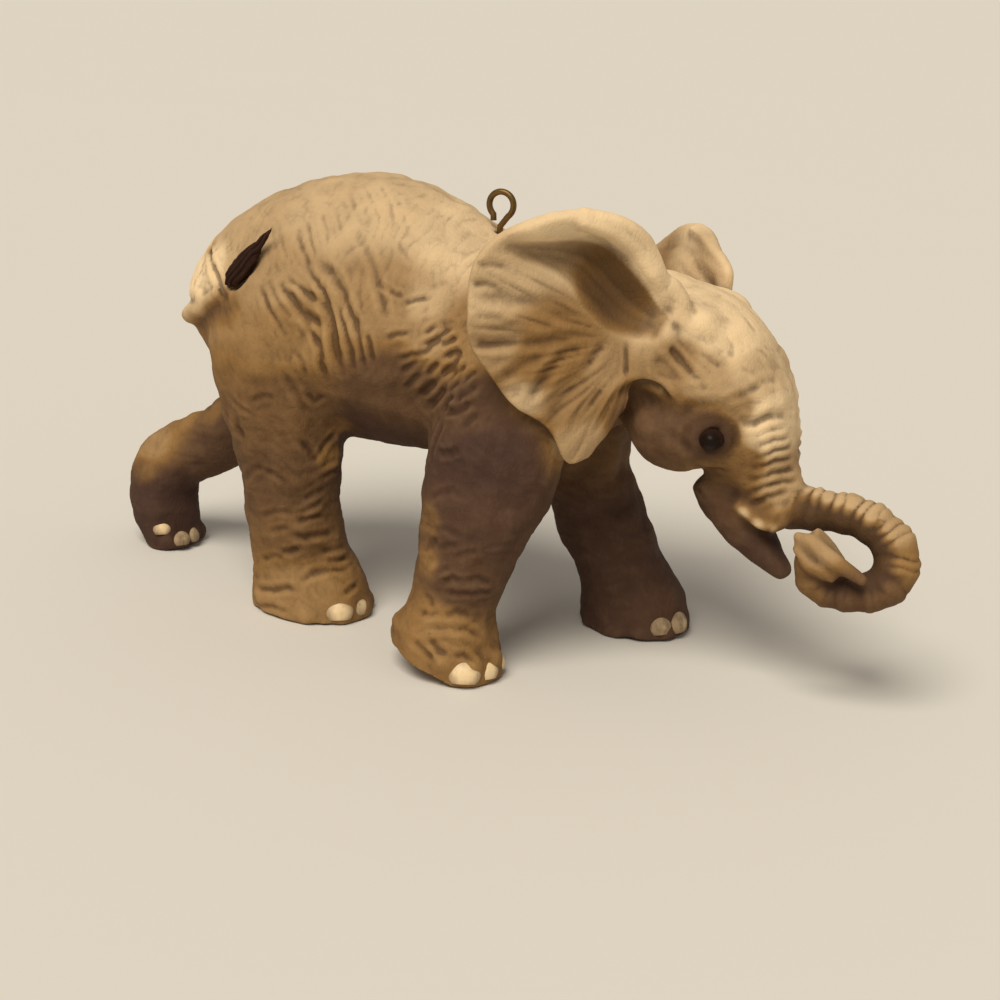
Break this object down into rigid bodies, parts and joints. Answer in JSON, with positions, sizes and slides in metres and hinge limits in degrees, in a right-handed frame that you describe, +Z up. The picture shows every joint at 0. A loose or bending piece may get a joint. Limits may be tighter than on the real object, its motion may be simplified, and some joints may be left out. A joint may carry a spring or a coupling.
{
  "type": "toy elephant figure",
  "caption": "Walking elephant calf figure with curled trunk, spread ears and a wire hanging eye on its back, cast as pegged and glued pieces that share one outline.",
  "frame": {"origin": "on the ground, under the middle of the outline box", "axes": "+X is where the calf walks to, +Y its left side, +Z up"},
  "size_m": [0.1164, 0.0494, 0.0613],
  "materials": {
    "torso": "matte painted resin, grey-tan with a brown wash in the folds",
    "head": "matte painted resin",
    "lower_jaw": "matte painted resin",
    "trunk": "matte painted resin, light dry-brushed ridges",
    "right_ear": "matte painted resin",
    "left_ear": "matte painted resin",
    "front_right_leg": "matte painted resin, cream toenails",
    "front_left_leg": "matte painted resin, cream toenails",
    "hind_right_leg": "matte painted resin, cream toenails",
    "hind_left_leg": "matte painted resin, cream toenails",
    "tail": "matte painted resin",
    "tail_tuft": "black-brown paint",
    "right_eye": "glossy black bead",
    "left_eye": "glossy black bead",
    "hanger_eye": "aged brass wire"
  },
  "bodies": {
    "root": {"torso": "torso", "head": "head", "lower_jaw": "lower_jaw", "trunk": "trunk", "right_ear": "right_ear", "left_ear": "left_ear", "front_right_leg": "front_right_leg", "front_left_leg": "front_left_leg", "hind_right_leg": "hind_right_leg", "hind_left_leg": "hind_left_leg", "tail": "tail", "tail_tuft": "tail_tuft", "right_eye": "right_eye", "left_eye": "left_eye", "hanger_eye": "hanger_eye"}
  },
  "joints": []
}
